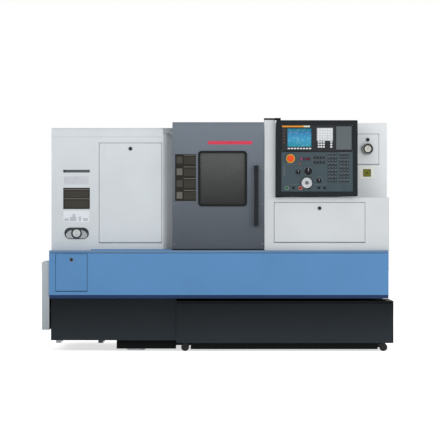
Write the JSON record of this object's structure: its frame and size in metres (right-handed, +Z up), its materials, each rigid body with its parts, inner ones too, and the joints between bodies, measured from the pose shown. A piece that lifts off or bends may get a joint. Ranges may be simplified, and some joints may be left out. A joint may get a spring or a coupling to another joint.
{
  "type": "cnc turning lathe",
  "caption": "Enclosed slant-bed turning lathe with a sliding windowed door, a swinging control panel and a blue band round its base.",
  "frame": {"origin": "on the floor, below the middle of the machine's outer box", "axes": "+X to the operator's right along the spindle, +Y from the front to the back, +Z up"},
  "size_m": [2.646, 1.6, 1.754],
  "materials": {
    "cabinet_paint": "satin light grey paint",
    "panel_paint": "satin pale grey paint",
    "door_paint": "satin mid grey paint",
    "band_paint": "satin blue paint",
    "dark_paint": "textured near-black paint",
    "bezel_paint": "matt near-black paint",
    "plate_paint": "matt grey plate",
    "casting": "painted grey casting",
    "machined_iron": "machined",
    "steel": "ground steel",
    "hardened_steel": "dark ground steel",
    "aluminium": "satin machined",
    "motor_paint": "gloss black paint",
    "rubber": "black rubber",
    "glass": "tinted safety glass",
    "handle_plastic": "moulded near-black",
    "red_plastic": "moulded red",
    "black_plastic": "moulded black",
    "green_plastic": "moulded green",
    "screen_unit": "moulded dark grey",
    "caster_nylon": "moulded dark",
    "liner_steel": "stainless sheet",
    "switch_plate": "dark moulded plate"
  },
  "bodies": {
    "machine": {"bed_casting": "casting", "levelling_feet": "steel", "base_cover": "band_paint", "left_skirt": "dark_paint", "left_cabinet": "cabinet_paint", "door_top_rail": "cabinet_paint", "lower_right_cover": "panel_paint", "upper_right_cabinet": "panel_paint", "rear_enclosure": "cabinet_paint", "chamber_liner": "liner_steel", "panel_hinges": "dark_paint", "electrical_cabinet": "cabinet_paint", "hydraulic_unit": "cabinet_paint", "headstock": "casting", "spindle_motor": "motor_paint", "drive_belt": "rubber", "z_servo_motor": "motor_paint", "main_switch_plate": "switch_plate"},
    "door": {"sliding_door": "door_paint", "window_gasket": "rubber", "window_glass": "glass", "door_handle": "handle_plastic"},
    "spindle": {"spindle": "hardened_steel", "chuck_body": "steel"},
    "jaw_1": {"chuck_jaw_1": "hardened_steel"},
    "jaw_2": {"chuck_jaw_2": "hardened_steel"},
    "jaw_3": {"chuck_jaw_3": "hardened_steel"},
    "motor_pulley": {"motor_pulley": "machined_iron"},
    "carriage": {"saddle": "machined_iron", "x_servo_motor": "motor_paint"},
    "cross_slide": {"cross_slide": "machined_iron", "turret_housing": "casting"},
    "turret_disc": {"turret_disc": "steel"},
    "z_screw": {"z_ball_screw": "steel"},
    "x_screw": {"x_ball_screw": "steel"},
    "tailstock": {"tailstock_body": "casting"},
    "quill": {"tailstock_quill": "steel"},
    "control_panel": {"control_housing": "bezel_paint", "display_unit": "screen_unit", "operator_plate": "plate_paint"},
    "emergency_stop": {"emergency_stop": "red_plastic"},
    "handwheel": {"handwheel": "aluminium"},
    "feed_dial": {"feed_dial": "black_plastic"},
    "mode_selector": {"mode_selector": "black_plastic"},
    "speed_selector": {"speed_selector": "black_plastic"},
    "start_button": {"start_button": "green_plastic"},
    "hold_button": {"hold_button": "red_plastic"},
    "service_cover": {"service_cover": "cabinet_paint"},
    "service_lock": {"service_lock": "steel"},
    "right_flap": {"right_flap": "panel_paint"},
    "right_flap_lock": {"right_flap_lock": "steel"},
    "band_door": {"band_door": "band_paint"},
    "band_door_lock": {"band_door_lock": "steel"},
    "gauge_door": {"gauge_door": "panel_paint"},
    "gauge_door_lock": {"gauge_door_lock": "steel"},
    "main_switch": {"main_switch_knob": "aluminium"},
    "tank": {"coolant_tank": "dark_paint", "coolant_pump": "motor_paint"},
    "left_wheels": {"left_wheelset": "caster_nylon"},
    "right_wheels": {"right_wheelset": "caster_nylon"}
  },
  "joints": [
    {"name": "door_slide", "type": "slide", "parent": "machine", "child": "door", "axis": [-1, 0, 0], "range_m": [0, 0.6]},
    {"name": "spindle_turn", "type": "hinge", "parent": "machine", "child": "spindle", "pos_m": [-0.5, -0.3, 1.06], "axis": [1, 0, 0], "continuous": true},
    {"name": "jaw_1_slide", "type": "slide", "parent": "spindle", "child": "jaw_1", "axis": [0, 0, 1], "range_m": [-0.003, 0.005]},
    {"name": "jaw_2_slide", "type": "slide", "parent": "spindle", "child": "jaw_2", "axis": [0, -0.866, -0.5], "range_m": [-0.003, 0.005]},
    {"name": "jaw_3_slide", "type": "slide", "parent": "spindle", "child": "jaw_3", "axis": [0, 0.866, -0.5], "range_m": [-0.003, 0.005]},
    {"name": "motor_pulley_turn", "type": "hinge", "parent": "machine", "child": "motor_pulley", "pos_m": [-0.85, -0.3, 0.33], "axis": [1, 0, 0], "continuous": true},
    {"name": "carriage_slide", "type": "slide", "parent": "machine", "child": "carriage", "axis": [1, 0, 0], "range_m": [-0.43, 0]},
    {"name": "cross_slide_travel", "type": "slide", "parent": "carriage", "child": "cross_slide", "axis": [0, 0.7071, 0.7071], "range_m": [-0.14, 0]},
    {"name": "turret_index", "type": "hinge", "parent": "cross_slide", "child": "turret_disc", "pos_m": [0.37, -0.04544, 1.31456], "axis": [1, 0, 0], "continuous": true},
    {"name": "z_screw_turn", "type": "hinge", "parent": "machine", "child": "z_screw", "pos_m": [0.4, -0.0115, 1.02606], "axis": [1, 0, 0], "range_deg": [-7800, 30]},
    {"name": "x_screw_turn", "type": "hinge", "parent": "carriage", "child": "x_screw", "pos_m": [0.567, -0.19393, 0.95393], "axis": [0, 0.7071, 0.7071], "range_deg": [-2600, 30]},
    {"name": "tailstock_slide", "type": "slide", "parent": "machine", "child": "tailstock", "axis": [1, 0, 0], "range_m": [-0.3, 0]},
    {"name": "quill_slide", "type": "slide", "parent": "tailstock", "child": "quill", "axis": [-1, 0, 0], "range_m": [0, 0.08]},
    {"name": "panel_swing", "type": "hinge", "parent": "machine", "child": "control_panel", "pos_m": [0.455, -0.73, 1.45], "axis": [0, 0, -1], "range_deg": [0, 80]},
    {"name": "emergency_stop_press", "type": "slide", "parent": "control_panel", "child": "emergency_stop", "axis": [0, 1, 0], "range_m": [0, 0.005], "stiffness_N_per_m": 800},
    {"name": "handwheel_turn", "type": "hinge", "parent": "control_panel", "child": "handwheel", "pos_m": [0.67, -0.76, 1.266], "axis": [0, -1, 0], "continuous": true},
    {"name": "feed_dial_turn", "type": "hinge", "parent": "control_panel", "child": "feed_dial", "pos_m": [0.682, -0.76, 1.353], "axis": [0, -1, 0], "range_deg": [-135, 135]},
    {"name": "mode_selector_turn", "type": "hinge", "parent": "control_panel", "child": "mode_selector", "pos_m": [0.606, -0.76, 1.348], "axis": [0, -1, 0], "range_deg": [-60, 60]},
    {"name": "speed_selector_turn", "type": "hinge", "parent": "control_panel", "child": "speed_selector", "pos_m": [0.763, -0.76, 1.283], "axis": [0, -1, 0], "range_deg": [-135, 135]},
    {"name": "start_press", "type": "slide", "parent": "control_panel", "child": "start_button", "axis": [0, 1, 0], "range_m": [0, 0.004], "stiffness_N_per_m": 400},
    {"name": "hold_press", "type": "slide", "parent": "control_panel", "child": "hold_button", "axis": [0, 1, 0], "range_m": [0, 0.004], "stiffness_N_per_m": 400},
    {"name": "service_cover_turn", "type": "hinge", "parent": "machine", "child": "service_cover", "pos_m": [-0.659, -0.6575, 0.8245], "axis": [-1, 0, 0], "range_deg": [-85, 0]},
    {"name": "service_lock_turn", "type": "hinge", "parent": "service_cover", "child": "service_lock", "pos_m": [-0.659, -0.66, 1.525], "axis": [0, -1, 0], "range_deg": [0, 90]},
    {"name": "right_flap_turn", "type": "hinge", "parent": "machine", "child": "right_flap", "pos_m": [0.768, -0.7075, 0.8275], "axis": [1, 0, 0], "range_deg": [0, 85]},
    {"name": "right_flap_lock_turn", "type": "hinge", "parent": "right_flap", "child": "right_flap_lock", "pos_m": [0.768, -0.71, 1.075], "axis": [0, -1, 0], "range_deg": [0, 90]},
    {"name": "band_door_turn", "type": "hinge", "parent": "machine", "child": "band_door", "pos_m": [-1.099, -0.7575, 0.4605], "axis": [1, 0, 0], "range_deg": [0, 85]},
    {"name": "band_door_lock_turn", "type": "hinge", "parent": "band_door", "child": "band_door_lock", "pos_m": [-1.099, -0.76, 0.688], "axis": [0, -1, 0], "range_deg": [0, 90]},
    {"name": "gauge_door_turn", "type": "hinge", "parent": "machine", "child": "gauge_door", "pos_m": [1.1435, -0.4975, 1.4205], "axis": [1, 0, 0], "range_deg": [0, 85]},
    {"name": "gauge_door_lock_turn", "type": "hinge", "parent": "gauge_door", "child": "gauge_door_lock", "pos_m": [1.1435, -0.5, 1.599], "axis": [0, -1, 0], "range_deg": [0, 90]},
    {"name": "main_switch_turn", "type": "hinge", "parent": "machine", "child": "main_switch", "pos_m": [-1.066, -0.66, 0.886], "axis": [0, -1, 0], "range_deg": [0, 90]},
    {"name": "tank_slide", "type": "slide", "parent": "machine", "child": "tank", "axis": [1, 0, 0], "range_m": [0, 0.9]},
    {"name": "left_wheels_turn", "type": "hinge", "parent": "tank", "child": "left_wheels", "pos_m": [-0.245, -0.45, 0.03], "axis": [0, 1, 0], "range_deg": [-20, 1730]},
    {"name": "right_wheels_turn", "type": "hinge", "parent": "tank", "child": "right_wheels", "pos_m": [1.247, -0.45, 0.03], "axis": [0, 1, 0], "range_deg": [-20, 1730]}
  ],
  "couplings": [
    {"joint": "jaw_2_slide", "follows": "jaw_1_slide", "ratio": 1},
    {"joint": "jaw_3_slide", "follows": "jaw_1_slide", "ratio": 1},
    {"joint": "motor_pulley_turn", "follows": "spindle_turn", "ratio": 1.375},
    {"joint": "z_screw_turn", "follows": "carriage_slide", "rad_per_m": 314.16},
    {"joint": "x_screw_turn", "follows": "cross_slide_travel", "rad_per_m": 314.16},
    {"joint": "left_wheels_turn", "follows": "tank_slide", "rad_per_m": 33.333},
    {"joint": "right_wheels_turn", "follows": "tank_slide", "rad_per_m": 33.333}
  ]
}
